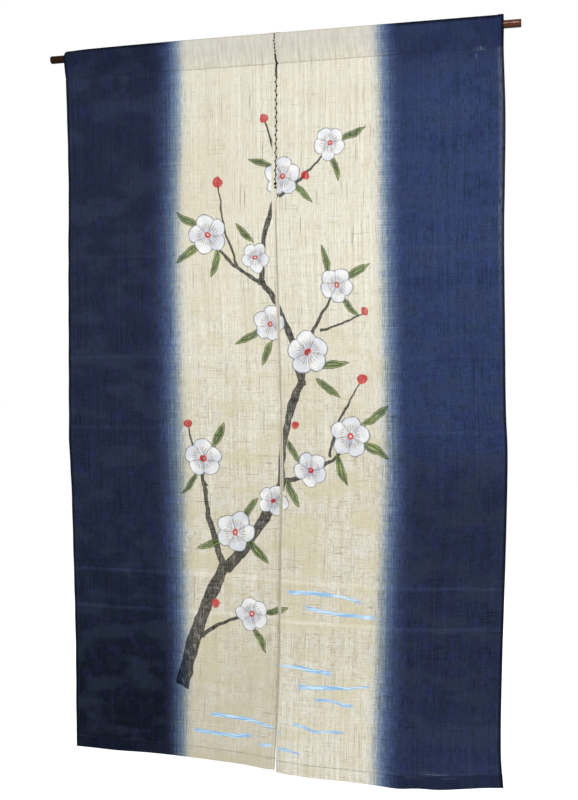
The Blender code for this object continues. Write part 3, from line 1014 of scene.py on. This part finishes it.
def thread_seams(panel):
    """Every seam of one panel: middles, directions, and depths of the front and back rows."""
    inner, outer = SIDE_HEM - 0.0015, PANEL_WIDTH - SIDE_HEM + 0.0015
    level = np.arange(0.004, PANEL_WIDTH - 0.003, STITCH_PITCH)
    upright = np.arange(POCKET_DEPTH + 0.006, DROP - 0.004, STITCH_PITCH)
    front = -CLOTH / 2 - STITCH_RADIUS * 0.35
    one_layer, three = LAYER + CLOTH / 2 + STITCH_RADIUS * 0.35, LAYER * 3 + CLOTH / 2
    found = []
    for drop in (POCKET_DEPTH, DROP - FOOT_HEM + 0.002):
        places, ways = seam_stitches(panel, level, np.full(level.shape, drop), True)
        hemmed = 1 - eased((np.minimum(level, PANEL_WIDTH - level) - SIDE_HEM) / 0.002)
        behind = one_layer + (three - one_layer) * hemmed
        found.append((places, ways, np.full(level.shape, front)))
        found.append((places + ways * STITCH_PITCH / 2, ways, behind))
    for distance in (inner, outer):
        places, ways = seam_stitches(panel, np.full(upright.shape, distance), upright, False)
        found.append((places, ways, np.full(upright.shape, front)))
        clear = upright < DROP - FOOT_HEM - 0.001
        found.append((places[clear], ways[clear], np.full(int(clear.sum()), one_layer)))
    return found


def thread_linen():
    material, tree, shader = new_material("seam_thread", 0.8)
    place = tree.nodes.new("ShaderNodeTexCoord").outputs["Object"]
    across, _ = split(place)
    uneven = grains(place, (300.0, 300.0, 300.0))
    undyed = mixed(uneven.rise(0.3, 0.7), (0.2, 0.172, 0.125), (0.33, 0.295, 0.225))
    dyed = mixed(uneven.rise(0.3, 0.7), (0.008, 0.012, 0.03), (0.018, 0.026, 0.062))
    colour = mixed(across.size().rise(0.205, 0.24), undyed, dyed)
    tree.links.new(colour, shader.inputs["Base Color"])
    bumped(uneven, 0.0002, 0.5)
    return material


def build_seams(panel, material):
    bar, bar_faces = stitch_bar()
    corners, faces = [], []
    for middles, ways, depths in thread_seams(panel):
        for middle, way, depth in zip(middles, ways, depths):
            side = np.cross(way, (0.0, 1.0, 0.0))
            turned = np.outer(bar[:, 0], way) + np.outer(bar[:, 2], side)
            turned[:, 1] += bar[:, 1]
            start = len(corners) * len(bar)
            corners.append(turned + middle + (0.0, depth, 0.0))
            faces += [tuple(start + i for i in face) for face in bar_faces]
    mesh = bpy.data.meshes.new(panel.name + "_seams")
    mesh.from_pydata(np.vstack(corners).tolist(), [], faces)
    mesh.materials.append(material)
    seams = bpy.data.objects.new(mesh.name, mesh)
    bpy.context.collection.objects.link(seams)
    select_only(seams)
    turn_faces_out()
    bpy.ops.object.shade_smooth()
    rest_on_root(seams, "linen")
    return seams


seam_thread = thread_linen()
for panel in (LEFT, RIGHT):
    seams = build_seams(panel, seam_thread)


# Joining thread: a dark waxed thread that laces the two panels together down the top of the
# slit, from side to side, with close stitches over the pocket's seam and a double end knot.
LACE_RADIUS = 0.00125
LACE_PITCH = 0.0089
LACE_REACH = 0.0016
LACE_END = 0.31
LACE_CLOSE = (0.042, 0.088)  # drops between which the stitches lie close and the thread double
LACE_KINK = 0.0022  # how far right the knotted stitch over the pocket's seam lies
# One stitch: how far down its pitch, how far to its side, how far in front of the cloth, and
# how thick the thread lies there.
LACE_STITCH = (
    (0.0, 0.1, 0.2, 0.65), (0.1, 0.6, 0.9, 1.0), (0.2, 1.0, 1.0, 1.3), (0.3, 0.9, 0.5, 1.0),
    (0.42, 0.2, 0.2, 0.65), (0.75, 0.0, 0.2, 0.6),
)
Knot = namedtuple("Knot", "drop across size")
KNOTS = [Knot(0.304, -0.0008, 0.0024), Knot(0.3115, 0.0004, 0.0024)]


def lace_points():
    """The thread's way down the slit: over the cloth at each stitch, and in the slit between
    them."""
    points = []
    drop, side = 0.004, -1
    while drop < LACE_END:
        above, close = drop < LACE_CLOSE[0], LACE_CLOSE[0] < drop < LACE_CLOSE[1]
        pitch = LACE_PITCH * (0.38 if close else 0.75 if above else 1.0)
        reach = LACE_REACH * (0.35 if above else 0.6 if close else 1.0)
        for share, out, lift, thick in LACE_STITCH:
            down = drop + pitch * share
            aside = side * reach * out + LACE_KINK * np.exp(-(((down - POCKET_DEPTH) / 0.004) ** 2))
            points.append((down, aside, max(lift, 0.5) if close else lift, 1.2 if close else thick))
        drop += pitch
        side = -side
    return np.array(points).T


def slit_place(drops):
    """The middle of the slit, and how far forward the cloth's face lies there."""
    left = np.array(hang(LEFT, np.zeros(len(drops)), drops))
    right = np.array(hang(RIGHT, np.zeros(len(drops)), drops))
    middle = (left + right) / 2
    profile = np.array([(row[1], -row[0]) for row in pocket_profile()])
    seam = CREASE_HEIGHT - POCKET_DEPTH
    front = np.interp(middle[2], np.r_[seam, profile[:, 0]], np.r_[0.0, profile[:, 1]])
    return middle[0], np.where(middle[2] > seam, front, middle[1]), middle[2]


def dark_thread():
    material, tree, shader = new_material("waxed_thread", 0.60)
    shader.inputs["Specular IOR Level"].default_value = 0.15
    place = tree.nodes.new("ShaderNodeTexCoord").outputs["Object"]
    uneven = grains(place, (900.0, 900.0, 500.0))
    colour = mixed(uneven.rise(0.35, 0.65), (0.003, 0.003, 0.003), (0.018, 0.013, 0.01))
    tree.links.new(colour, shader.inputs["Base Color"])
    bumped(uneven, 0.0002, 0.6)
    return material


drops, reaches, heights, thicknesses = lace_points()
slit_x, slit_y, slit_z = slit_place(drops)
bpy.ops.curve.primitive_nurbs_path_add()
lace = bpy.context.object
lace.name = "joining_thread"
lace.data.splines.clear()
spline = lace.data.splines.new("NURBS")
spline.points.add(len(drops) - 1)
lift = CLOTH / 2 + LACE_RADIUS
lace_places = np.column_stack((slit_x + reaches, slit_y - lift * heights, slit_z, np.ones(len(drops))))
spline.points.foreach_set("co", lace_places.ravel())
spline.points.foreach_set("radius", thicknesses)
spline.use_endpoint_u = True
spline.order_u = 3
lace.data.resolution_u = 3
lace.data.bevel_depth = LACE_RADIUS
lace.data.bevel_resolution = 2
lace.data.use_fill_caps = True
select_only(lace)
bpy.ops.object.convert(target="MESH")
lace = bpy.context.object

waxed = dark_thread()
knots = []
for i, knot in enumerate(KNOTS):
    x, y, z = (float(value[0]) for value in slit_place(np.array([knot.drop])))
    deselect_all()
    bpy.ops.mesh.primitive_ico_sphere_add(
        subdivisions=3, radius=knot.size, location=(x + knot.across, y - knot.size * 0.6, z)
    )
    lump = bpy.context.object
    lump.name = f"end_knot_{i + 1}"
    apply_place()
    places = vertex_places(lump)
    middle = places.mean(axis=0)
    for place in places:
        away = place - middle
        turns = sin(atan2(away[2], away[0]) * 3 + away[1] * 2600)
        place[:] = middle + away * (1.0 + 0.16 * turns) * (1.0, 0.7, 0.85)
    set_vertex_places(lump, places)
    bpy.ops.object.shade_smooth()
    knots.append(lump)
for piece in (lace, *knots):
    piece.data.materials.clear()
    piece.data.materials.append(waxed)
    rest_on_root(piece, "linen")
